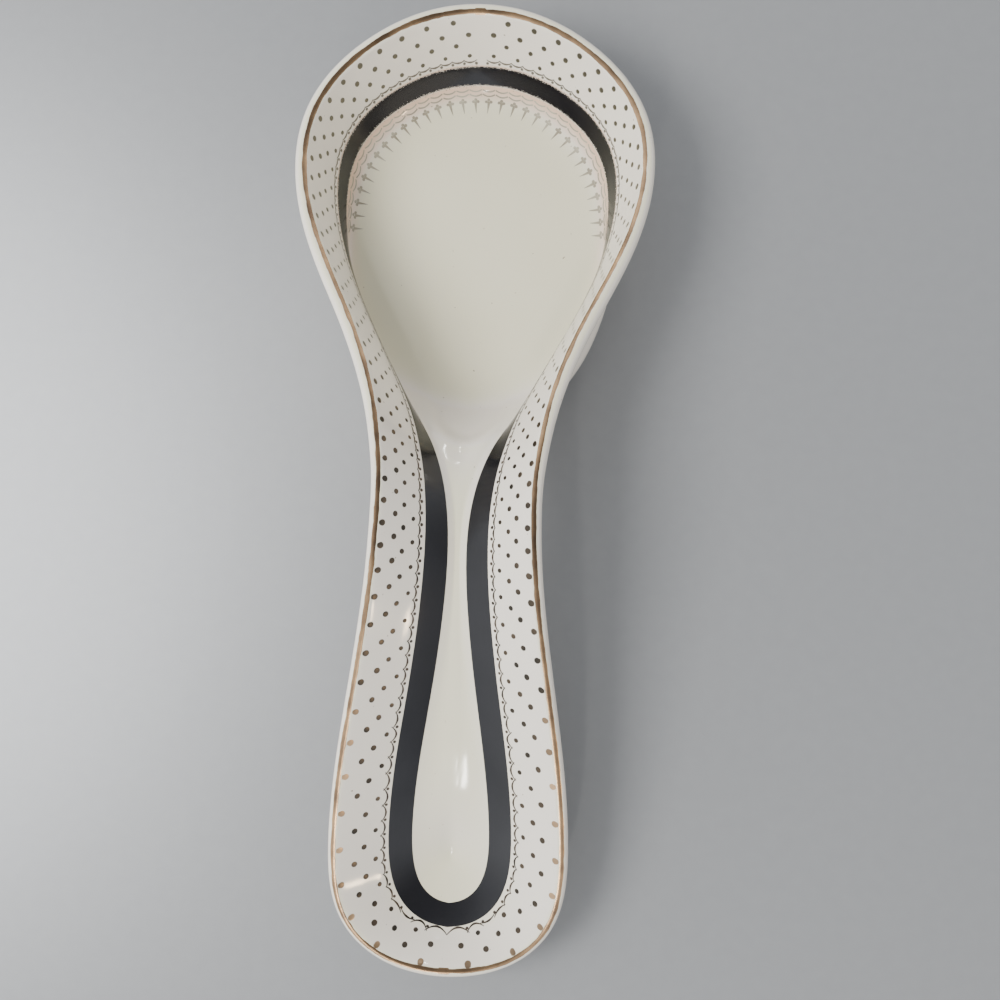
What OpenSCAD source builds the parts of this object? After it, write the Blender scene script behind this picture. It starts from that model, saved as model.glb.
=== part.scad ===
// Spoon rest: a drop-shaped bowl that runs on into a raised, trough-shaped handle.
// One casting of glazed clay, with a gilded lip, a black band, rows of gold dots,
// a scalloped edging and a fine lace round the bowl.
// +Y points to the tip of the bowl, +Z up; the origin is under the middle, on the table.

/* [Outline] */
// Length over the lip, from the bowl's tip to the handle's end
rest_length = 251; // [230:1:270]
// Width over the lip at the widest part of the bowl
bowl_width = 93; // [87:1:100]
// Width over the lip at the narrowest part of the neck
neck_width = 42; // [40:1:46]
// Width over the lip near the end of the handle
handle_width = 63; // [59:1:68]

/* [Heights] */
// Height of the lip at the tip of the bowl
bowl_rim_height = 28; // [26:0.5:32]
// Height of the lip at the neck, where it is highest
neck_rim_height = 42; // [39:0.5:46]
// Height of the lip at the end of the handle
end_rim_height = 18; // [17:0.5:22]

/* [Clay] */
// Thickness of the wall
wall = 3.8; // [3.2:0.1:4.4]
// Height of the bare foot under the bowl
foot_height = 1.8; // [1.2:0.1:2.4]
// Width of the bare foot ring
foot_ring_width = 3.5; // [2.5:0.1:5]

/* [Decoration] */
// Width of the white zone between the lip and the black band, along the wall
dot_zone = 15.5; // [14:0.1:16.5]
// Width of the black band, along the wall
band_width = 6.5; // [5.5:0.1:7.5]
// Thickness of the fired colours and gold
coat = 0.2; // [0.1:0.05:0.3]
// Step of the pattern next to the lip, at the neck: one dot in each row and two scallops
pattern_step = 5; // [4.5:0.1:6]
// Diameter at the neck of the dots next to the lip
largest_dot = 1.3; // [1:0.05:1.5]
// Diameter at the neck of the dots next to the scallops
smallest_dot = 0.75; // [0.6:0.05:0.9]
// Diameter of the pin dots at the scallops' cusps
pin_dot = 0.5; // [0.35:0.05:0.6]
// Width of the scalloped line
scallop_line = 0.35; // [0.25:0.05:0.45]
// Step of the pendants of the lace round the bowl
pendant_step = 3.5; // [2.8:0.1:5]
// Length of one pendant
pendant_length = 3.4; // [2.6:0.1:4]

/* [Hidden] */

half_length = rest_length / 2 - wall;
bowl_half = bowl_width / 2 - wall;
neck_half = neck_width / 2 - wall;
handle_half = handle_width / 2 - wall;
bowl_floor = foot_height + wall;

// Stations run down the right side from the bowl's tip to the handle's end; this one is the neck
neck_station = 11;
// Closing of the rim toward the middle line at each station
rim_closing_shares = [0, 0.4, 0.79, 1.01, 1, 1, 1, 1, 1, 1, 1, 1, 1, 1, 1, 1.01, 0.99, 0.6, 0];
// Swelling of the rim's width, from the neck's up to the bowl's and then to the handle's
rim_swell_shares = [
    1, 1, 1, 0.99, 0.99, 0.75, 0.44, 0.235, 0.11, 0.045, 0, 0, 0.1, 0.455, 0.85, 1.01, 1, 1, 1
];
// Places of the rim's stations along half the length
rim_along_shares = [
    1.012, 0.987, 0.892, 0.772, 0.618, 0.479, 0.356, 0.255, 0.17, 0.094,
    0.021, -0.067, -0.194, -0.382, -0.572, -0.75, -0.895, -0.985, -1.006
];
// Rise of the rim, from the bowl's up to the neck's height and down to the handle end's
rim_lift_shares = [
    0, 0, 0.01, 0.04, 0.13, 0.32, 0.53, 0.7, 0.81, 0.93,
    1.03, 1.09, 0.98, 0.7, 0.46, 0.22, 0.04, -0.03, -0.02
];
// Places along half the length where each station's row meets the middle line
spine_along_shares = [
    0.72, 0.71, 0.68, 0.63, 0.56, 0.45, 0.33, 0.235, 0.175, 0.115,
    0.05, -0.06, -0.197, -0.386, -0.575, -0.69, -0.75, -0.78, -0.79
];
// Toe of the bowl's wall, at the bowl's stations: shares of its half width and of half the length
toe_side_shares = [0, 0.33, 0.61, 0.78, 0.85, 0.9, 0.86, 0.67, 0.43, 0.2];
toe_along_shares = [0.905, 0.89, 0.81, 0.72, 0.615, 0.49, 0.37, 0.28, 0.21, 0.14];
// Rise of that toe above the floor, up to the foot of the band
toe_rise_shares = [0, 0, 0, 0, 0.08, 0.22, 0.32, 0.36, 0.36, 0.3];
// Climb of the floor out of the bowl, up to the trough of the handle
climb_shares = [0, 0, 0, 0, 0, 0, 0, 0, 0.03, 0.88, 1, 1, 1, 1, 1, 1, 1, 1, 1];
// Steepness in degrees of the white zone and of the black band at each station
zone_slopes = [66, 63, 63, 65, 70, 76, 77, 72, 63, 55, 46, 39, 37, 35, 32, 30, 29, 37, 50];
band_slopes = [49, 49, 52, 57, 66, 83, 96, 92, 79, 62, 43, 30, 26, 24, 22, 18, 14, 14, 17];
// Width of the white zone at each station, which is widest at the shoulder and in the handle
zone_width_shares = [
    0.96, 0.92, 0.85, 0.84, 0.9, 0.96, 1, 0.98, 0.92, 0.83,
    0.76, 0.76, 0.78, 0.84, 0.83, 0.87, 0.95, 0.73, 0.58
];
// Width of the black band at each station, which is widest in the trough
band_width_shares = [
    0.89, 0.85, 0.78, 0.76, 0.84, 0.94, 1, 1, 0.96, 0.97,
    1.07, 1.25, 1.3, 1.25, 1.18, 1.17, 1.27, 1.2, 1.07
];
// Place of the trough's toe between the band and the middle line
trough_toe_share = 0.45;
// Dip of the trough's floor below the band
trough_dip = 0.3;

last = len(rim_along_shares) - 1;
bowl_stations = len(toe_side_shares);

function mix(a, b, share) = a + (b - a) * share;
function unit(v) = v / norm(v);
function flip(p) = [-p.x, p.y, p.z];

// Steps down the wall, toward the spine in plan, by a length along the wall
function down_wall(from, to, length, slope) =
    let (heading = unit([to.x - from.x, to.y - from.y]))
    from + length * [heading.x * cos(slope), heading.y * cos(slope), -sin(slope)];

// Control points of one station's row, from the lip down the wall to the middle line
function control_row(i) =
    let (
        big_half = i < neck_station ? bowl_half : handle_half,
        low_rim = i < neck_station ? bowl_rim_height : end_rim_height,
        rim = [
            rim_closing_shares[i] * mix(neck_half, big_half, rim_swell_shares[i]),
            rim_along_shares[i] * half_length,
            mix(low_rim, neck_rim_height, rim_lift_shares[i]) - wall / 2
        ],
        middle = [0, spine_along_shares[i] * half_length],
        zone = dot_zone * zone_width_shares[i],
        band_top = down_wall(rim, middle, zone, zone_slopes[i]),
        band = band_width * band_width_shares[i],
        band_foot = down_wall(band_top, middle, band, band_slopes[i]),
        floor_height = mix(bowl_floor, band_foot.z - trough_dip, climb_shares[i]),
        spine = [middle.x, middle.y, floor_height],
        trough_toe = mix(band_foot, spine, trough_toe_share),
        toe = i < bowl_stations
            ? [
                toe_side_shares[i] * bowl_half,
                toe_along_shares[i] * half_length,
                mix(floor_height, band_foot.z, toe_rise_shares[i])
            ]
            : [trough_toe.x, trough_toe.y, floor_height]
    )
    [
        rim, mix(rim, band_top, 1 / 3), mix(rim, band_top, 2 / 3), band_top, band_foot,
        toe, mix(toe, spine, 1 / 2), spine
    ];

// Places of the rows of the wall: lip, upper and lower edge of the black band, toe and middle line
band_top_row = 3;
band_foot_row = 4;
toe_row = 5;
middle_row = 7;

// The control grid, carried on past the lip and mirrored past the middle line and both tips
controls = [for (i = [0:last]) control_row(i)];
function past_edges(row) = concat([2 * row[0] - row[1]], row, [flip(row[middle_row - 1])]);
inner_rows = [for (row = controls) past_edges(row)];
function flipped(row) = [for (p = row) flip(p)];
grid = concat([flipped(inner_rows[1])], inner_rows, [flipped(inner_rows[last - 1])]);

// Smooth surface through the grid: a uniform cubic spline both ways
function weights(t) =
    [pow(1 - t, 3), 3 * pow(t, 3) - 6 * t * t + 4, -3 * pow(t, 3) + 3 * t * t + 3 * t + 1, pow(t, 3)] / 6;
function slopes(t) = [-3 * pow(1 - t, 2), 9 * t * t - 12 * t, -9 * t * t + 6 * t + 3, 3 * t * t] / 6;
function cell(at, end) = min(floor(at), end - 1);
function blend(i, j, along, down) =
    along * [for (k = [0:3]) down * [for (m = [0:3]) grid[i + k][j + m]]];
function glaze(u, v) =
    let (i = cell(u, last), j = cell(v, middle_row), p = blend(i, j, weights(u - i), weights(v - j)))
    on_middle(u, v) ? [0, p.y, p.z] : p;
function on_middle(u, v) = u == 0 || u == last || v == middle_row;
function along_rim(u, v) =
    let (i = cell(u, last), j = cell(v, middle_row)) blend(i, j, slopes(u - i), weights(v - j));
function down_the_wall(u, v) =
    let (i = cell(u, last), j = cell(v, middle_row)) blend(i, j, weights(u - i), slopes(v - j));
function normal(u, v) =
    let (n = cross(down_the_wall(u, v), along_rim(u, v)), m = on_middle(u, v) ? [0, n.y, n.z] : n)
    norm(m) < tiny ? [0, 0, 1] : unit(m);
tiny = 0.001;

// Point of the inside at a height above the glaze, and the matching point of the underside
function inside(u, v, above = 0) = glaze(u, v) + above * normal(u, v);
function outside(u, v) = glaze(u, v) - wall * normal(u, v);
// Point of the rounded lip, at an angle from the inside (0) over the top to the outside (180)
function lip(u, angle, above = 0) =
    let (
        n = normal(u, 0),
        d = down_the_wall(u, 0),
        up = -unit(on_middle(u, 0) ? [0, d.y, d.z] : d)
    )
    glaze(u, 0) - wall / 2 * n + (wall / 2 + above) * (cos(angle) * n + sin(angle) * up);

// Steps of the mesh along the rim, and its rows down the wall
steps_per_station = 3;
mesh_steps = [for (k = [0:last * steps_per_station]) k / steps_per_station];
wall_rows = [0, 0.4, 0.8, 1.2, 1.6, 2, 2.5, 3, 3.5, 4, 4.33, 4.67, 5, 5.33, 5.67, 6, 6.5, 7];
band_rows = [for (v = wall_rows) if (v >= band_top_row && v <= band_foot_row) v];
lip_angles = [15, 40, 65, 90, 120, 150];
gilding_angles = [15, 40, 65];

// One mesh row per step: from the middle of the inside, over the lip, to the middle of the underside
function shell_row(u) = concat(
    [for (k = [len(wall_rows) - 1:-1:0]) inside(u, wall_rows[k])],
    [for (angle = lip_angles) lip(u, angle)],
    [for (v = wall_rows) outside(u, v)]
);

// Two triangles of four corners, cut from the first corner to the third, or the other way
function quad(a, b, c, d, falling = true) =
    falling ? [[a, b, c], [a, c, d]] : [[a, b, d], [b, c, d]];
// Triangles of a grid of rows, whose middle corners fold flat onto the middle line
function grid_faces(rows, columns, first = 0) = [
    for (i = [0:rows - 2], j = [0:columns - 2])
        let (
            a = first + i * columns + j, d = a + columns,
            falling = (i < (rows - 1) / 2) == (j < (columns - 1) / 2)
        )
        each quad(a, a + 1, d + 1, d, falling)
];
function reversed(faces) = [for (f = faces) [f[0], f[2], f[1]]];

module clay_body() {
    color([0.93, 0.91, 0.86]) {
        right = [for (u = mesh_steps) shell_row(u)];
        rows = len(right);
        columns = len(right[0]);
        right_points = [for (row = right) each row];
        left_points = [for (p = right_points) flip(p)];
        polyhedron(
            concat(right_points, left_points),
            concat(grid_faces(rows, columns), reversed(grid_faces(rows, columns, rows * columns)))
        );
    }
}

// The rim as a whole loop: down the right side and back up the left
function loop_of(points) = concat(points, [for (k = [len(points) - 2:-1:1]) flip(points[k])]);

// A closed band: one ring of points per corner of its section, cut into triangles as the clay is
module closed_band(rings) {
    count = len(rings[0]);
    corners = len(rings);
    polyhedron(
        [for (ring = rings) each ring],
        [
            for (c = [0:corners - 1], k = [0:count - 1])
                let (
                    next_c = (c + 1) % corners, next_k = (k + 1) % count,
                    falling = floor(4 * k / count) % 2 == 0
                )
                each quad(
                    c * count + k, c * count + next_k, next_c * count + next_k, next_c * count + k,
                    falling
                )
        ]
    );
}

module rim_gilding() {
    color([0.72, 0.52, 0.3]) {
        under = [for (angle = gilding_angles) loop_of([for (u = mesh_steps) lip(u, angle)])];
        over = [for (angle = gilding_angles) loop_of([for (u = mesh_steps) lip(u, angle, coat)])];
        closed_band(concat(under, [for (k = [len(over) - 1:-1:0]) over[k]]));
    }
}

// A strip of the inside, one coat thick, on the right side, cut into triangles as the clay is
module coat_strip(rows) {
    corners = concat([for (v = rows) [v, 0]], [for (k = [len(rows) - 1:-1:0]) [rows[k], coat]]);
    count = len(corners);
    sections = len(mesh_steps);
    end = (sections - 1) * count;
    polyhedron(
        [for (u = mesh_steps, corner = corners) inside(u, corner[0], corner[1])],
        concat(
            [
                for (i = [0:sections - 2], c = [0:count - 1])
                    let (a = i * count + c, b = i * count + (c + 1) % count)
                    each quad(a, b, b + count, a + count, i >= (sections - 1) / 2)
            ],
            [for (k = [0:len(rows) - 2]) [count - 1 - k, count - 2 - k, k + 1, k]],
            [for (k = [0:len(rows) - 2]) [end + k, end + k + 1, end + count - 2 - k, end + count - 1 - k]]
        )
    );
}

module black_band_right() {
    color([0.13, 0.13, 0.14]) coat_strip(band_rows);
}

module black_band_left() {
    mirror([1, 0, 0]) black_band_right();
}

// Foot ring: two arcs and their tangents make the drop shape, and a smaller drop opens it
foot_big_share = 0.58;
foot_small_share = 0.19;
foot_far_share = 0.6;
foot_near_share = 0.35;
arc_steps = 32;

module drop_outline(inset) {
    big = foot_big_share * bowl_half - inset;
    small = foot_small_share * bowl_half - inset;
    far = foot_far_share * half_length;
    near = foot_near_share * half_length;
    lean = asin((big - small) / (far - near));
    polygon(concat(
        [for (k = [0:arc_steps]) arc_point(far, big, mix(-lean, 180 + lean, k / arc_steps))],
        [for (k = [0:arc_steps]) arc_point(near, small, mix(180 + lean, 360 - lean, k / arc_steps))]
    ));
}
function arc_point(along, radius, angle) = [radius * cos(angle), along + radius * sin(angle)];

module bowl_foot_ring() {
    color([0.83, 0.76, 0.66]) linear_extrude(foot_height) difference() {
        drop_outline(0);
        drop_outline(foot_ring_width);
    }
}

// Heel: a low bare pad that carries the end of the handle and fits the underside of the trough
heel_stations = 2;
heel_steps = [for (u = mesh_steps) if (u > last - heel_stations) u];
heel_rows = [for (v = wall_rows) if (v >= toe_row) v];

module handle_heel() {
    rows = len(heel_steps);
    columns = len(heel_rows);
    count = rows * columns;
    top = [for (u = heel_steps, v = heel_rows) outside(u, v)];
    points = concat(top, [for (p = top) [p.x, p.y, 0]]);
    patch = [
        for (i = [0:rows - 2], j = [0:columns - 2])
            let (a = i * columns + j, d = a + columns)
            each quad(a, a + 1, d + 1, d)
    ];
    edge = concat([for (j = [columns - 1:-1:0]) j], [for (i = [1:rows - 1]) i * columns]);
    side = [
        for (k = [0:len(edge) - 2])
            let (a = edge[k], b = edge[k + 1], c = b + count, d = a + count)
            each [[a, c, b], [a, d, c]]
    ];
    right = concat(reversed(patch), shifted(patch, count), side);
    left = reversed(right);
    color([0.83, 0.76, 0.66])
        polyhedron(concat(points, flipped(points)), concat(right, shifted(left, 2 * count)));
}
function shifted(faces, by) = [for (f = faces) [for (k = f) k + by]];

// Pattern steps along the rim, next to the lip: told at places u of the rim, as shares of the neck's.
// The transfers were stretched toward both ends, and the dots with them.
step_shares = [
    [0, 1.5], [2.5, 1.13], [3.3, 1.05], [5, 1.05], [6, 1.1], [7.2, 1], [9, 0.97], [11, 1.08],
    [12, 1.4], [13.4, 1.65], [14.2, 2.1], [15, 2], [15.6, 1.8], [16.5, 2], [18, 3.2]
];
dot_growth_shares = [[0, 1.15], [3, 1.1], [7, 1], [11, 1], [14, 1.4], [18, 1.5]];
// Rows of dots between the lip and the band's upper edge: in the bowl, and closer to the lip in the
// handle; the second table tells how far a place u is on the way from the one to the other
bowl_row_shares = [0.1, 0.36, 0.57, 0.79];
handle_row_shares = [0.04, 0.33, 0.54, 0.77];
row_way_shares = [[5, 0], [10, 1]];
// Way, in steps, that each row of dots runs ahead of the row above it, told at places u of the rim
row_lead_shares = [[0, 0.5], [8, 0.38], [12, 0.38], [16, 0.4], [18, 0.45]];
// Way, in steps, from the handle's end to the first dot, and the least from a seam to a dot
first_dot_share = 0.42;
seam_clear_share = 0.12;

rows_of_dots = len(bowl_row_shares);
function row_share(row, u) =
    mix(bowl_row_shares[row], handle_row_shares[row], lookup(u, row_way_shares));

// Steps counted from the handle's end up the side to the bowl's tip
stops = [for (k = [last * steps_per_station:-1:0]) k / steps_per_station];
stop_points = [for (u = stops) inside(u, band_top_row * row_share(0, u))];
stop_gaps = [
    for (k = [1:len(stops) - 1])
        norm(stop_points[k] - stop_points[k - 1]) / (pattern_step * lookup(stops[k], step_shares))
];
function sum_to(list, k) = k < 1 ? 0 : list[k - 1] + sum_to(list, k - 1);
counts = [for (k = [0:len(stops) - 1]) [sum_to(stop_gaps, k), stops[k]]];
total = counts[len(counts) - 1][0];
function place(count) = lookup(count, counts);
// Count of a dot, from the number of the dot in the first row that it follows
function row_count(row, k) =
    let (start = k + first_dot_share) start + row * lookup(place(start), row_lead_shares);

// Stands its children on the glaze, with X along the rim and Y up the wall
module on_glaze(u, v) {
    n = normal(u, v);
    along = along_rim(u, v);
    t = unit(along - (along * n) * n);
    up = cross(n, t);
    p = inside(u, v);
    multmatrix([[t.x, up.x, n.x, p.x], [t.y, up.y, n.y, p.y], [t.z, up.z, n.z, p.z], [0, 0, 0, 1]])
        translate([0, 0, -coat / 2])
            children();
}

module dot(size) {
    cylinder(h = 1.5 * coat, d = size, $fn = 24);
}

// Thin arc that hangs from two cusps, a pitch apart, by a depth
module hanging_arc(pitch, depth, line) {
    radius = (pitch * pitch / 4 + depth * depth) / (2 * depth);
    reach = asin((pitch - line) / (2 * radius));
    translate([0, radius - depth, 0]) rotate([0, 0, -90 - reach])
        rotate_extrude(angle = 2 * reach, $fn = 48) translate([radius - line / 2, 0])
            square([line, 1.5 * coat]);
}

module gold_dots_right() {
    color([0.5, 0.38, 0.24])
        for (row = [0:rows_of_dots - 1], k = [-rows_of_dots:ceil(total)]) {
            count = row_count(row, k);
            u = place(count);
            size = mix(largest_dot, smallest_dot, row / (rows_of_dots - 1));
            if (count > seam_clear_share && count < total - seam_clear_share)
                on_glaze(u, band_top_row * row_share(row, u))
                    dot(size * lookup(u, dot_growth_shares));
        }
}

module gold_dots_left() {
    mirror([1, 0, 0]) gold_dots_right();
}

// Scallops: two to a step, in line with the last row of dots, and a pin dot below each cusp
cusp_row_share = 0.86;
pin_row_share = 0.94;
scallop_depth_share = 0.27;

module scallop_edging_right() {
    color([0.42, 0.33, 0.24])
        for (k = [-rows_of_dots:2 * ceil(total)]) {
            before = row_count(rows_of_dots - 1, (k - 0.5) / 2);
            after = row_count(rows_of_dots - 1, (k + 0.5) / 2);
            if (before > 0 && after < total) {
                u = place(after);
                v = band_top_row * cusp_row_share;
                pitch = norm(inside(place(before), v) - inside(u, v));
                on_glaze(place((before + after) / 2), v)
                    hanging_arc(pitch, scallop_depth_share * pitch, scallop_line);
                if (after < total - seam_clear_share)
                    on_glaze(u, band_top_row * pin_row_share) dot(pin_dot);
            }
        }
}

module scallop_edging_left() {
    mirror([1, 0, 0]) scallop_edging_right();
}

// Lace: two rows of small arcs under the band, and pendants that hang from them to the floor
lace_end_station = 4.5;
lace_row_shares = [0.2, 0.45];
pendant_row_share = 0.72;
lace_depth_share = 0.2;
lace_line_share = 0.07;
pendant_dot_share = 0.16;
pendant_stem_share = 0.06;

// Three dots over a stem that points to the floor
module pendant() {
    size = pendant_dot_share * pendant_length;
    stem = pendant_stem_share * pendant_length;
    translate([0, -size / 2, 0]) dot(size);
    for (side = [-1, 1]) translate([side * 1.2 * size, -1.5 * size, 0]) dot(size);
    translate([-stem / 2, -pendant_length, 0]) cube([stem, pendant_length - 1.2 * size, 1.5 * coat]);
}

module bowl_lace_right() {
    lace_stops = [for (u = mesh_steps) if (u <= lace_end_station) u];
    toe_points = [for (u = lace_stops) inside(u, toe_row)];
    toe_gaps = [for (k = [1:len(lace_stops) - 1]) norm(toe_points[k] - toe_points[k - 1])];
    lengths = [for (k = [0:len(lace_stops) - 1]) [sum_to(toe_gaps, k), lace_stops[k]]];
    copies = floor(sum_to(toe_gaps, len(toe_gaps)) / pendant_step);
    color([0.62, 0.5, 0.42])
        for (k = [0:copies - 1]) {
            u = lookup((k + 1 / 2) * pendant_step, lengths);
            on_glaze(u, mix(band_foot_row, toe_row, pendant_row_share)) pendant();
            depth = lace_depth_share * pendant_step;
            for (share = lace_row_shares)
                on_glaze(u, mix(band_foot_row, toe_row, share))
                    hanging_arc(pendant_step, depth, lace_line_share * pendant_step);
        }
}

module bowl_lace_left() {
    mirror([1, 0, 0]) bowl_lace_right();
}

clay_body();
bowl_foot_ring();
handle_heel();
rim_gilding();
black_band_left();
black_band_right();
gold_dots_left();
gold_dots_right();
scallop_edging_left();
scallop_edging_right();
bowl_lace_left();
bowl_lace_right();
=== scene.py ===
import math
import random

import bmesh
import bpy
from mathutils import Matrix, Vector
from mathutils.kdtree import KDTree


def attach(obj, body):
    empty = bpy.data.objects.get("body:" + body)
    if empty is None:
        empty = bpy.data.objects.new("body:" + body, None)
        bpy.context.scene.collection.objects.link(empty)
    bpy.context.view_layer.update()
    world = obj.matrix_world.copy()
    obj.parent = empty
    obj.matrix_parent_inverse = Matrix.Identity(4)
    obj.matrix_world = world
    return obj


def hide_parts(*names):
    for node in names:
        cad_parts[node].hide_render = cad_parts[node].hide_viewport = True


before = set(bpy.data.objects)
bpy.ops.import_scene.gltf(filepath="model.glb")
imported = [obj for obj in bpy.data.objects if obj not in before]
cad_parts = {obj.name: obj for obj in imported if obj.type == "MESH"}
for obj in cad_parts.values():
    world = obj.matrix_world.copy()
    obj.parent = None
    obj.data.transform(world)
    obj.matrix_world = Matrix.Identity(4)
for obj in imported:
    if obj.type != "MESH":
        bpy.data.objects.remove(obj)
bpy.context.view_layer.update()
mm = 0.001


# Camera: held almost straight above the table, a little to the right of the neck.
# Its height over the table and its angles set the wide, near view of the bowl's walls.
camera_place = Vector((17.308, -12.438, 262.611)) * mm
camera_turn = [math.radians(angle) for angle in (2.6157, 1.6827, 2.2827)]
lens_length = 34.0205
bpy.ops.object.camera_add(location=camera_place, rotation=camera_turn)
camera = bpy.context.object
camera.data.lens = lens_length
camera.data.sensor_width = 36
camera.data.clip_start = 0.01
bpy.context.scene.camera = camera


# Table: a plain pale grey top, matt, that the spoon rest stands on.
# Its paint has a fine, faint grain, and it reaches the horizon in the views from the side.
table_width = 24
paint_grain = 260
bpy.ops.mesh.primitive_plane_add(size=table_width)
table = bpy.context.object
table.name = "table"
paint = bpy.data.materials.new("pale_table")
paint.use_nodes = True
nodes, links = paint.node_tree.nodes, paint.node_tree.links
skin = nodes["Principled BSDF"]
place = nodes.new("ShaderNodeTexCoord")
grain = nodes.new("ShaderNodeTexNoise")
grain.inputs["Scale"].default_value = paint_grain
grain.inputs["Detail"].default_value = 4
shades = nodes.new("ShaderNodeValToRGB")
shades.color_ramp.elements[0].color = (0.285, 0.292, 0.299, 1)
shades.color_ramp.elements[1].color = (0.312, 0.319, 0.326, 1)
links.new(place.outputs["Object"], grain.inputs["Vector"])
links.new(grain.outputs["Fac"], shades.inputs["Fac"])
links.new(shades.outputs["Color"], skin.inputs["Base Color"])
skin.inputs["Roughness"].default_value = 0.55
skin.inputs["Specular IOR Level"].default_value = 0.3
table.data.materials.append(paint)


# Light: a soft window on the left throws the shadow, and a lamp brightens the table beside the
# handle. Small far lamps spark in the glaze. The room is brightest at the left, near the horizon.
def window(name, azimuth, height, distance, size, power, colour, mirrored=True):
    """A rectangular light at an azimuth and a height in degrees that faces the spoon rest."""
    turn, rise = math.radians(azimuth), math.radians(height)
    way = Vector((math.cos(turn) * math.cos(rise), math.sin(turn) * math.cos(rise), math.sin(rise)))
    bpy.ops.object.light_add(type="AREA", location=distance * way)
    lamp = bpy.context.object
    lamp.name = name
    lamp.data.shape = "RECTANGLE"
    lamp.data.size, lamp.data.size_y = size
    lamp.data.energy = power
    lamp.data.color = colour
    lamp.rotation_euler = way.to_track_quat("Z", "Y").to_euler()
    lamp.visible_glossy = mirrored


window("left_window", -172, 53, 0.60, (0.26, 0.26), 3.5, (1, 0.985, 0.96), mirrored=False)
window("near_lamp", -99, 41, 1.0, (0.03, 0.14), 1.1, (1, 0.97, 0.90))
window("warm_lamp", -38, 22, 1.0, (0.05, 0.05), 0.5, (1, 0.74, 0.45))
window("far_lamp", 86, 31, 1.0, (0.03, 0.03), 0.3, (1, 0.97, 0.92))
bpy.ops.object.light_add(type="SPOT", location=(-0.19, -0.01, 0.40))
lamp = bpy.context.object
lamp.name = "table_lamp"
lamp.data.energy = 16
lamp.data.spot_size = math.radians(48)
lamp.data.spot_blend = 1
lamp.data.shadow_soft_size = 0.05
lamp.visible_glossy = False
room_lean = 0.35
room_strength = 1.64
room = bpy.data.worlds.new("room")
room.use_nodes = True
air = room.node_tree
way = air.nodes.new("ShaderNodeTexCoord")
parts = air.nodes.new("ShaderNodeSeparateXYZ")
leaning = air.nodes.new("ShaderNodeMath")
leaning.operation = "MULTIPLY_ADD"
leaning.inputs[1].default_value = room_lean
dusk = air.nodes.new("ShaderNodeValToRGB")
dusk.color_ramp.elements[0].color = (0.95, 0.97, 1, 1)
dusk.color_ramp.elements[1].color = (0.15, 0.153, 0.16, 1)
middle = dusk.color_ramp.elements.new(0.6)
middle.color = (0.62, 0.64, 0.68, 1)
air.links.new(way.outputs["Generated"], parts.inputs["Vector"])
air.links.new(parts.outputs["X"], leaning.inputs[0])
air.links.new(parts.outputs["Z"], leaning.inputs[2])
air.links.new(leaning.outputs["Value"], dusk.inputs["Fac"])
air.links.new(dusk.outputs["Color"], air.nodes["Background"].inputs["Color"])
air.nodes["Background"].inputs["Strength"].default_value = room_strength
bpy.context.scene.world = room


# Clay body: one shell of slip-cast white clay under a clear, warm glaze, which flows round the lip.
# It carries all the other layers. Its walls are 3.8 mm thick. The bowl's floor ends in a short,
# steep step at the neck, and its top edge bends like a bow.
weld = 0.002 * mm
pairing_angle = math.radians(60)
upper_slope = 0.2
# The step's place, bend, reach to each side, half width and height, told in millimetres
step_apex = 13.8
step_bend = 0.083
step_reach = 9
step_width = 1.5
step_height = 1.7
# Half widths past which the step is gone
step_fade = 5
# Upward shares of the normal at which the walls' painted shade ends and the floor's own glaze tone starts
wall_shade_end, floor_tone_start = 0.82, 0.99
# Places along the piece where the spatter begins and where it is full, and a grain's softness
spatter_start, spatter_full = 20 * mm, 36 * mm
grain_softness = 0.05


def select_only(piece):
    bpy.ops.object.select_all(action="DESELECT")
    piece.select_set(True)
    bpy.context.view_layer.objects.active = piece


def merged_copy(node, name):
    """A new piece with a CAD node's mesh, its doubles merged and its triangles paired up."""
    piece = bpy.data.objects.new(name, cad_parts[node].data.copy())
    piece.data.materials.clear()
    bpy.context.scene.collection.objects.link(piece)
    select_only(piece)
    bpy.ops.object.mode_set(mode="EDIT")
    bpy.ops.mesh.select_all(action="SELECT")
    bpy.ops.mesh.remove_doubles(threshold=weld)
    bpy.ops.mesh.tris_convert_to_quads(face_threshold=pairing_angle, shape_threshold=pairing_angle)
    bpy.ops.object.mode_set(mode="OBJECT")
    return piece


def apply_modifier(piece, kind, **settings):
    select_only(piece)
    modifier = piece.modifiers.new(kind.title(), kind)
    for setting, value in settings.items():
        setattr(modifier, setting, value)
    bpy.ops.object.modifier_apply(modifier=modifier.name)


def fired_material(name):
    """A new material with its shader, its links and the place of each point."""
    material = bpy.data.materials.new(name)
    material.use_nodes = True
    tree = material.node_tree
    place = tree.nodes.new("ShaderNodeTexCoord").outputs["Object"]
    return material, tree.nodes, tree.links, tree.nodes["Principled BSDF"], place


def noise(nodes, links, place, scale, detail=3, roughness=0.5):
    texture = nodes.new("ShaderNodeTexNoise")
    texture.inputs["Scale"].default_value = scale
    texture.inputs["Detail"].default_value = detail
    texture.inputs["Roughness"].default_value = roughness
    links.new(place, texture.inputs["Vector"])
    return texture.outputs["Fac"]


def ramp(nodes, links, value, stops):
    """Colours at places between 0 and 1 of a value."""
    node = nodes.new("ShaderNodeValToRGB")
    elements = node.color_ramp.elements
    while len(elements) < len(stops):
        elements.new(0.5)
    for element, (place, colour) in zip(elements, stops):
        element.position = place
        element.color = (*colour, 1)
    links.new(value, node.inputs["Fac"])
    return node.outputs["Color"]


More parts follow.
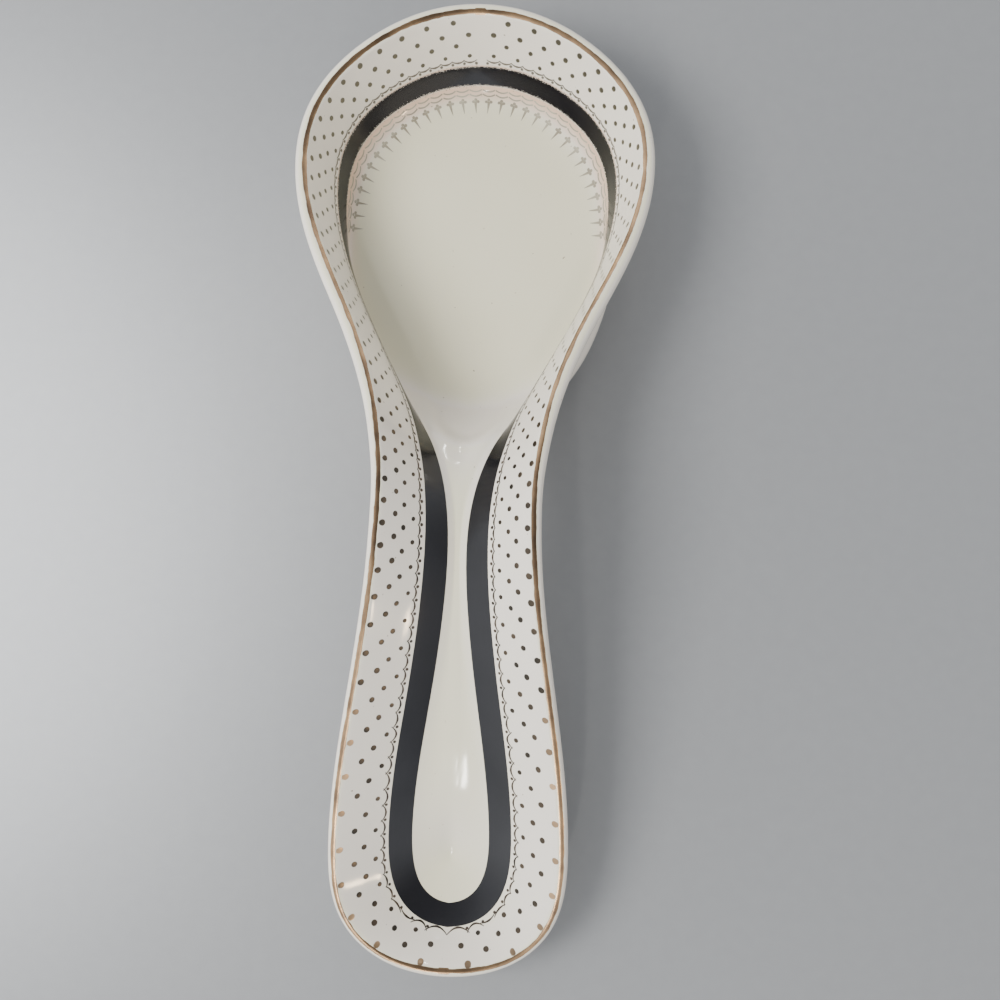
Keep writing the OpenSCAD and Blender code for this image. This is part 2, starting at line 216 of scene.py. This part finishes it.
def mix(nodes, links, share, first, second, blend="MIX"):
    """Mixes two colours; the share and the colours are sockets or values."""
    node = nodes.new("ShaderNodeMix")
    node.data_type = "RGBA"
    node.blend_type = blend
    for socket, value in (("Factor", share), ("A", first), ("B", second)):
        target = [s for s in node.inputs if s.name == socket and s.enabled][0]
        if isinstance(value, bpy.types.NodeSocket):
            links.new(value, target)
        elif socket == "Factor":
            target.default_value = value
        else:
            target.default_value = (*value, 1)
    return [s for s in node.outputs if s.enabled][0]


def sum_of(nodes, links, first, factor, second):
    """First times factor plus second, where each is a socket or a number."""
    node = nodes.new("ShaderNodeMath")
    node.operation = "MULTIPLY_ADD"
    for socket, value in zip(node.inputs, (first, factor, second)):
        if isinstance(value, bpy.types.NodeSocket):
            links.new(value, socket)
        else:
            socket.default_value = value
    return node.outputs["Value"]


def spread(nodes, links, value, start, end):
    """Tells how far a value is on its way from a start to an end, from 0 to 1."""
    node = nodes.new("ShaderNodeMapRange")
    links.new(value, node.inputs["Value"])
    node.inputs["From Min"].default_value = start
    node.inputs["From Max"].default_value = end
    return node.outputs["Result"]


def bump(nodes, links, height, strength, distance, shader):
    node = nodes.new("ShaderNodeBump")
    node.inputs["Strength"].default_value = strength
    node.inputs["Distance"].default_value = distance
    links.new(height, node.inputs["Height"])
    links.new(node.outputs["Normal"], shader.inputs["Normal"])


def vertex_value(nodes, name):
    node = nodes.new("ShaderNodeAttribute")
    node.attribute_name = name
    return node.outputs["Fac"]


def grain_group():
    """Specks of spattered colour in the bowl, thinning out with the gap to the band's edge."""
    group = bpy.data.node_groups.new("spatter", "ShaderNodeTree")
    for name in ("Gap", "Start", "Fall"):
        group.interface.new_socket(name=name, in_out="INPUT", socket_type="NodeSocketFloat")
    group.interface.new_socket(name="Grain", in_out="OUTPUT", socket_type="NodeSocketFloat")
    nodes, links = group.nodes, group.links
    given = nodes.new("NodeGroupInput").outputs
    place = nodes.new("ShaderNodeTexCoord").outputs["Object"]
    along = nodes.new("ShaderNodeSeparateXYZ")
    links.new(place, along.inputs["Vector"])
    in_bowl = spread(nodes, links, along.outputs["Y"], spatter_start, spatter_full)
    cloud = noise(nodes, links, place, 3600, 2, 0.6)
    fallen = sum_of(nodes, links, given["Gap"], given["Fall"], cloud)
    behind = sum_of(nodes, links, fallen, -1, given["Start"])
    specks = spread(nodes, links, behind, 0, grain_softness)
    result = nodes.new("NodeGroupOutput")
    links.new(sum_of(nodes, links, specks, in_bowl, 0), result.inputs["Grain"])
    return group


spatter = grain_group()


def grains(nodes, links, start, fall):
    node = nodes.new("ShaderNodeGroup")
    node.node_tree = spatter
    links.new(vertex_value(nodes, "band_gap"), node.inputs["Gap"])
    node.inputs["Start"].default_value = start
    node.inputs["Fall"].default_value = fall
    return node.outputs["Grain"]


def finish_piece(piece, name, slot, *nodes_replaced):
    """Shades a piece smooth, names it, hangs it under the root and hides the CAD nodes it replaces; the slot
    is not used.
    """
    select_only(piece)
    bpy.ops.object.shade_smooth()
    piece.name = name
    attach(piece, "root")
    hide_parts(*nodes_replaced)


body = merged_copy("clay_body", "body")
apply_modifier(body, "SUBSURF", levels=2, render_levels=2)
upper = [(v.index, v.co.copy()) for v in body.data.vertices if v.normal.z > upper_slope]
for number, point in upper:
    x, y = point.x / mm, point.y / mm
    past = (y - step_apex - step_bend * x * x) / math.hypot(1, 2 * step_bend * x) / step_width
    if abs(x) < 2 * step_reach and abs(past) < step_fade:
        rise = -past * math.exp((1 - past * past) / 2 - (x / step_reach) ** 4)
        body.data.vertices[number].co.z += step_height / 2 * rise * mm
glaze, nodes, links, shader, place = fired_material("white_glaze")
cloud = noise(nodes, links, place, 22, 3)
warm = ramp(nodes, links, cloud, [(0.3, (0.845, 0.80, 0.585)), (0.7, (0.875, 0.835, 0.63))])
# Steep walls get a greyer, pinker tint than the floor: painted shade, set by which way the glaze faces.
facing = nodes.new("ShaderNodeSeparateXYZ")
links.new(nodes.new("ShaderNodeNewGeometry").outputs["Normal"], facing.inputs["Vector"])
level = spread(nodes, links, facing.outputs["Z"], wall_shade_end, floor_tone_start)
wall_shade_tint = mix(nodes, links, level, (0.86, 0.80, 0.70), warm)
rosy = mix(nodes, links, vertex_value(nodes, "lace_tint"), wall_shade_tint, (0.80, 0.575, 0.41))
specks = noise(nodes, links, place, 900, 1)
dark_specks = ramp(nodes, links, specks, [(0.17, (0.45, 0.40, 0.33)), (0.22, (1, 1, 1))])
clean = mix(nodes, links, 1.0, rosy, dark_specks, "MULTIPLY")
sooty = mix(nodes, links, grains(nodes, links, 0.46, 0.22), clean, (0.03, 0.03, 0.03))
links.new(sooty, shader.inputs["Base Color"])
shader.inputs["Roughness"].default_value = 0.1
shader.inputs["IOR"].default_value = 1.52
bump(nodes, links, noise(nodes, links, place, 150, 2), 0.12, 0.2 * mm, shader)
body.data.materials.append(glaze)
finish_piece(body, "glazed_body", "white_glaze", "clay_body")


# Feet: the bare clay ring under the bowl and the low pad under the handle's end.
# Both are wiped free of glaze before the firing, and their edges are a little rounded.
foot_rounding = 0.35 * mm
sharp_angle = math.radians(35)
clay, nodes, links, shader, place = fired_material("bare_clay")
grit = noise(nodes, links, place, 1400, 4)
stain = noise(nodes, links, place, 90, 3)
biscuit = ramp(nodes, links, grit, [(0.35, (0.55, 0.47, 0.38)), (0.65, (0.72, 0.65, 0.56))])
wear_and_glare = ramp(nodes, links, stain, [(0.4, (0.8, 0.78, 0.75)), (0.62, (1, 1, 1))])
links.new(mix(nodes, links, 1.0, biscuit, wear_and_glare, "MULTIPLY"), shader.inputs["Base Color"])
shader.inputs["Roughness"].default_value = 0.85
bump(nodes, links, grit, 0.4, 0.1 * mm, shader)
for node, name in (("bowl_foot_ring", "foot_ring"), ("handle_heel", "heel_pad")):
    foot = merged_copy(node, name)
    apply_modifier(foot, "BEVEL", width=foot_rounding, segments=2, limit_method="ANGLE")
    foot.data.materials.append(clay)
    finish_piece(foot, name, "bare_clay", node)
    bpy.ops.object.shade_smooth_by_angle(angle=sharp_angle)


# Black band: an enamel ribbon, fired under the gold, that runs round the bowl and the trough.
# Its edges are crisp in the handle and break up into grains on the bowl's steep wall.
skin_lift = 0.03 * mm
seam_gap = 0.4 * mm
# Least height over the glaze, and least agreement with its normal, of a face that can be seen
least_height = 0.1 * mm
least_agreement = 0.5
# Gap to the band's edge, in millimetres, that is kept for the underside
far_from_band = 9.0


def on_glaze(point, lift):
    """The place above the nearest glaze, and the way that the glaze faces there."""
    _, place, facing, _ = body.closest_point_on_mesh(point)
    return place + lift * facing, facing


def upper_skin(node, name, levels):
    """The outer skin of a coat, smoothed and laid just above the glaze."""
    piece = merged_copy(node, name)
    coat = bmesh.new()
    coat.from_mesh(piece.data)
    hidden = []
    for face in coat.faces:
        centre = face.calc_center_median()
        glaze_place, facing = on_glaze(centre, 0)
        height = (centre - glaze_place).dot(facing)
        if height < least_height or face.normal.dot(facing) < least_agreement:
            hidden.append(face)
    bmesh.ops.delete(coat, geom=hidden, context="FACES")
    coat.to_mesh(piece.data)
    coat.free()
    apply_modifier(piece, "SUBSURF", levels=levels, render_levels=levels, boundary_smooth="PRESERVE_CORNERS")
    for vertex in piece.data.vertices:
        vertex.co = on_glaze(vertex.co, skin_lift)[0]
    return piece


def open_edge(piece):
    """The points along a skin's long edges, without the short ones where two halves meet."""
    shape = bmesh.new()
    shape.from_mesh(piece.data)
    points = [v.co.copy() for v in shape.verts if v.is_boundary and abs(v.co.x) > seam_gap]
    shape.free()
    return points


def tree_of(points):
    tree = KDTree(len(points))
    for k, point in enumerate(points):
        tree.insert(point, k)
    tree.balance()
    return tree


def store_values(piece, name, values):
    """Keeps one number for each vertex, for a material to read."""
    attribute = piece.data.attributes.new(name, "FLOAT", "POINT")
    attribute.data.foreach_set("value", values)


enamel, nodes, links, shader, place = fired_material("black_enamel")
streaks = noise(nodes, links, place, 60, 5)
black = ramp(nodes, links, streaks, [(0.3, (0.006, 0.006, 0.0075)), (0.75, (0.013, 0.013, 0.0155))])
wear_and_glare = mix(nodes, links, grains(nodes, links, 0.52, 0.34), black, (0.60, 0.56, 0.48))
links.new(wear_and_glare, shader.inputs["Base Color"])
shader.inputs["Roughness"].default_value = 0.16
bump(nodes, links, noise(nodes, links, place, 500, 3), 0.1, 0.1 * mm, shader)
bands = [upper_skin("black_band_" + side, "band", 3) for side in ("left", "right")]
band_edge = tree_of(open_edge(bands[0]) + open_edge(bands[1]))
for side, band in zip(("left", "right"), bands):
    store_values(band, "band_gap", [band_edge.find(v.co)[2] / mm for v in band.data.vertices])
    band.data.materials.append(enamel)
    finish_piece(band, "black_band_skin_" + side, "black_enamel", "black_band_" + side)
store_values(body, "band_gap", [
    band_edge.find(v.co)[2] / mm if v.normal.z > 0 else far_from_band for v in body.data.vertices
])


# Gilding: liquid gold, brushed on along the inside of the lip and fired to a brownish lustre.
# Its edges are uneven, as the brush left them.
edge_wander = 0.6
# Gap to the edge less the wander, in millimetres, where the gold begins and where it is full
gold_start, gold_full = -0.14, -0.04
gold, nodes, links, shader, place = fired_material("fired_gold")
brushed = noise(nodes, links, place, 140, 4)
lustre = ramp(nodes, links, brushed, [(0.3, (0.23, 0.15, 0.095)), (0.7, (0.62, 0.40, 0.22))])
brush = noise(nodes, links, place, 260, 3)
ragged = sum_of(nodes, links, brush, -edge_wander, vertex_value(nodes, "edge_gap"))
painted = spread(nodes, links, ragged, gold_start, gold_full)
links.new(mix(nodes, links, painted, (0.84, 0.805, 0.645), lustre), shader.inputs["Base Color"])
links.new(painted, shader.inputs["Metallic"])
shader.inputs["Roughness"].default_value = 0.26
gilding = upper_skin("rim_gilding", "gilding", 2)
gilding_edge = tree_of(open_edge(gilding))
store_values(gilding, "edge_gap", [gilding_edge.find(v.co)[2] / mm for v in gilding.data.vertices])
gilding.data.materials.append(gold)
finish_piece(gilding, "lip_gilding", "fired_gold", "rim_gilding")


# Dots: drops of gold in four rows between the lip and the scallops, smaller toward the band.
# Each is a low dome with a slightly uneven outline.
dot_relief = 0.045 * mm
# Half width past which a dot is in the lip row and gets a painted reflection in copper, and its least share
lip_row_reach = 0.85 * mm
least_lip_sheen = 0.2
# Places along the piece where painted glare begins to pale the gold, and where it is palest, in the bowl
glare_start, glare_full = 25 * mm, 60 * mm
# Growth of a very small drop over its solid, and the loss of it with each millimetre of half width
drop_growth = 2
growth_loss = 0.95
# Least and most half width of an uneven drop, as shares of its radius
slimmest, widest = 0.92, 1.06
random.seed(7)


def separate_solids(node):
    """The points of each separate solid of a CAD node, in the node's own order."""
    merged = bmesh.new()
    merged.from_mesh(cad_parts[node].data)
    bmesh.ops.remove_doubles(merged, verts=merged.verts, dist=weld)
    merged.verts.ensure_lookup_table()
    seen = [False] * len(merged.verts)
    solids = []
    for start in range(len(merged.verts)):
        if seen[start]:
            continue
        seen[start] = True
        waiting, points = [merged.verts[start]], []
        while waiting:
            vertex = waiting.pop()
            points.append(vertex.co.copy())
            for edge in vertex.link_edges:
                other = edge.other_vert(vertex)
                if not seen[other.index]:
                    seen[other.index] = True
                    waiting.append(other)
        solids.append(points)
    merged.free()
    return solids


def middle_of(points):
    return sum(points, Vector()) / len(points)


def reach_of(points):
    """The farthest that a solid reaches from its middle, about half its length."""
    centre = middle_of(points)
    return max((point - centre).length for point in points)


bpy.ops.object.select_all(action="DESELECT")
bpy.ops.mesh.primitive_circle_add(vertices=12, radius=1, fill_type="NGON")
drop = bpy.context.object
bpy.ops.object.mode_set(mode="EDIT")
bpy.ops.mesh.inset(thickness=0.22, depth=1.4)
bpy.ops.mesh.inset(thickness=0.38, depth=0.6)
bpy.ops.object.mode_set(mode="OBJECT")


def drop_radius(points):
    """The radius of a drop whose foot is sunk in the glaze; small drops spread more."""
    reach = reach_of(points)
    return (drop_growth - growth_loss * reach / mm) * reach


def add_drop(target, point, radius, relief):
    """Copies the drop onto the glaze at a point, a little uneven, with its foot sunk in."""
    place, facing = on_glaze(point, -relief)
    stand = facing.to_track_quat("Z", "Y").to_matrix().to_4x4()
    length = radius * random.uniform(slimmest, widest)
    width = radius * random.uniform(slimmest, widest)
    uneven = Matrix.Diagonal((length, width, relief, 1))
    turn = Matrix.Rotation(random.uniform(0, math.tau), 4, "Z")
    copied = drop.data.copy()
    copied.transform(Matrix.Translation(place) @ stand @ turn @ uneven)
    target.from_mesh(copied)
    bpy.data.meshes.remove(copied)


def piece_from(shapes, name, material):
    """A new piece from a finished bmesh."""
    mesh = bpy.data.meshes.new(name)
    shapes.to_mesh(mesh)
    shapes.free()
    piece = bpy.data.objects.new(name, mesh)
    bpy.context.scene.collection.objects.link(piece)
    piece.data.materials.append(material)
    return piece


def painted_glare_in_bowl(nodes, links, place, colour, pale):
    """Turns a colour paler from the neck up into the bowl: painted glare, the reflection on the steep walls.
    """
    along = nodes.new("ShaderNodeSeparateXYZ")
    links.new(place, along.inputs["Vector"])
    share = spread(nodes, links, along.outputs["Y"], glare_start, glare_full)
    return mix(nodes, links, share, colour, pale)


bronze, nodes, links, shader, place = fired_material("dot_gold")
tint = noise(nodes, links, place, 130, 2)
dark = ramp(nodes, links, tint, [(0.35, (0.05, 0.043, 0.034)), (0.68, (0.12, 0.09, 0.062))])
# The dots grow paler into the bowl: painted glare, the reflection on the steep walls.
wear_and_glare = painted_glare_in_bowl(nodes, links, place, dark, (0.15, 0.14, 0.11))
# The larger dots of the lip row get a share of bright copper: a painted reflection of the lip's sheen.
with_lip_sheen = mix(nodes, links, vertex_value(nodes, "lip_row_sheen"), wear_and_glare, (0.66, 0.43, 0.24))
links.new(with_lip_sheen, shader.inputs["Base Color"])
shader.inputs["Metallic"].default_value = 0.85
shader.inputs["Roughness"].default_value = 0.28
for side in ("left", "right"):
    drops = bmesh.new()
    solids = separate_solids("gold_dots_" + side)
    for solid in solids:
        add_drop(drops, middle_of(solid), drop_radius(solid), dot_relief)
    dots = piece_from(drops, "dots", bronze)
    shares = [
        random.uniform(least_lip_sheen, 1) if reach_of(solid) > lip_row_reach else 0 for solid in solids
    ]
    nearest = tree_of([middle_of(solid) for solid in solids])
    store_values(dots, "lip_row_sheen", [shares[nearest.find(v.co)[1]] for v in dots.data.vertices])
    finish_piece(dots, "gold_dot_drops_" + side, "dot_gold", "gold_dots_" + side)


# Scallops: a line of printed gold arcs with their cusps toward the lip, and pin dots by the band.
# Where neighbours run into each other, their common solid is cut into single arcs again.
line_lift = 0.03 * mm
pin_limit = 0.4 * mm
scallop_pitch = 4.2 * mm
# Steps on each half of an arc, and how far each half reaches, in half chords
half_steps = 7
tail = 1.16
# Width in the middle of an arc, and the loss of it over half a chord, in millimetres
scallop_width = 0.56
scallop_taper = 0.32


def add_ribbon(target, points, widths):
    """Lays a flat ribbon on the glaze along points."""
    rows = []
    for k, point in enumerate(points):
        place, facing = on_glaze(point, line_lift)
        ahead = points[min(k + 1, len(points) - 1)] - points[max(k - 1, 0)]
        across = facing.cross(ahead).normalized() * widths[k] / 2
        rows.append([target.verts.new(place + across), target.verts.new(place - across)])
    for (a, b), (d, c) in zip(rows, rows[1:]):
        target.faces.new((a, b, c, d))


def ends_of(points):
    """The point farthest from the middle, and the point farthest from that one."""
    centre = middle_of(points)
    first = max(points, key=lambda p: (p - centre).length)
    return first, max(points, key=lambda p: (p - first).length)


def single_arcs(points):
    """Cuts the points of arcs that run into each other into equal stretches along their chord."""
    count = max(1, round(2 * reach_of(points) / scallop_pitch))
    first, second = ends_of(points)
    chord = second - first
    arcs = [[] for k in range(count)]
    for point in points:
        share = (point - first).dot(chord) / chord.length_squared
        arcs[min(max(int(share * count), 0), count - 1)].append(point)
    return arcs


def along_arc(points, steps):
    """Places on an arc that bulges from its chord, at steps counted in half chords."""
    first, second = ends_of(points)
    middle = (first + second) / 2
    bulge = middle_of(points) - middle
    half = (second - first) / 2
    bulge -= half * bulge.dot(half) / half.length_squared
    deepest = 2 * bulge
    return [middle + t * half + (1 - t * t) * deepest for t in steps]


ink, nodes, links, shader, place = fired_material("scallop_gold")
faded = noise(nodes, links, place, 200, 3)
dark = ramp(nodes, links, faded, [(0.35, (0.03, 0.022, 0.016)), (0.65, (0.085, 0.06, 0.042))])
# The scallops grow paler into the bowl: painted glare, the reflection on the steep walls.
wear_and_glare = painted_glare_in_bowl(nodes, links, place, dark, (0.17, 0.15, 0.115))
links.new(wear_and_glare, shader.inputs["Base Color"])
shader.inputs["Metallic"].default_value = 0.4
shader.inputs["Roughness"].default_value = 0.4
arc_steps = [tail * (k / half_steps - 1) for k in range(2 * half_steps + 1)]
arc_widths = [(scallop_width - scallop_taper * abs(t)) * mm for t in arc_steps]
for side in ("left", "right"):
    scallops = bmesh.new()
    for solid in separate_solids("scallop_edging_" + side):
        if reach_of(solid) < pin_limit:
            add_drop(scallops, middle_of(solid), drop_radius(solid), line_lift)
            continue
        for arc in single_arcs(solid):
            add_ribbon(scallops, along_arc(arc, arc_steps), arc_widths)
    edging = piece_from(scallops, "edging", ink)
    finish_piece(edging, "scallop_line_" + side, "scallop_gold", "scallop_edging_" + side)


# Lace: a fine printed border inside the band round the bowl, with pendants that point to the floor.
# A rosy wash lies under it, between the band and the pendants.
lace_arc_limit = 1.5 * mm
lace_dot_limit = 0.4 * mm
lace_half_steps = 6
lace_arc_width = 0.36 * mm
# Steps on half a pendant's length, and points on the whole of it, with its long tip
pendant_steps = 4
pendant_points = 11
# Width in the middle of a pendant, and the loss of it over half its length, in millimetres
pendant_width = 0.54
pendant_taper = 0.3
# Width of the wash in millimetres, and the places along the piece where it begins and is full
wash_width = 4.6
wash_start, wash_full = 46 * mm, 84 * mm
print_ink, nodes, links, shader, place = fired_material("lace_print")
faded = noise(nodes, links, place, 160, 3)
links.new(
    ramp(nodes, links, faded, [(0.35, (0.30, 0.265, 0.19)), (0.65, (0.46, 0.42, 0.315))]),
    shader.inputs["Base Color"],
)
shader.inputs["Roughness"].default_value = 0.3
lace_steps = [k / lace_half_steps - 1 for k in range(2 * lace_half_steps + 1)]
lace_widths = [lace_arc_width] * len(lace_steps)
stem_steps = [k / pendant_steps - 1 for k in range(pendant_points)]
stem_widths = [(pendant_width - pendant_taper * t) * mm for t in stem_steps]
for side in ("left", "right"):
    border = bmesh.new()
    for solid in separate_solids("bowl_lace_" + side):
        reach = reach_of(solid)
        if reach < lace_dot_limit:
            add_drop(border, middle_of(solid), drop_radius(solid), line_lift)
        elif reach > lace_arc_limit:
            add_ribbon(border, along_arc(solid, lace_steps), lace_widths)
        else:
            centre = middle_of(solid)
            top = max(solid, key=lambda p: p.z)
            along = (top - centre).normalized() * reach
            add_ribbon(border, [centre - t * along for t in stem_steps], stem_widths)
    lace = piece_from(border, "lace", print_ink)
    finish_piece(lace, "lace_border_" + side, "lace_print", "bowl_lace_" + side)


def wash(vertex):
    """Strength of the rosy wash: full beside the band's lower edge, fading among the pendants."""
    edge, _, gap = band_edge.find(vertex.co)
    if vertex.normal.z <= 0 or vertex.co.z > edge.z or vertex.co.y < wash_start:
        return 0.0
    fade = min((vertex.co.y - wash_start) / (wash_full - wash_start), 1)
    return fade * max(0, 1 - (gap / mm / wash_width) ** 2)


store_values(body, "lace_tint", [wash(vertex) for vertex in body.data.vertices])
bpy.data.objects.remove(drop)
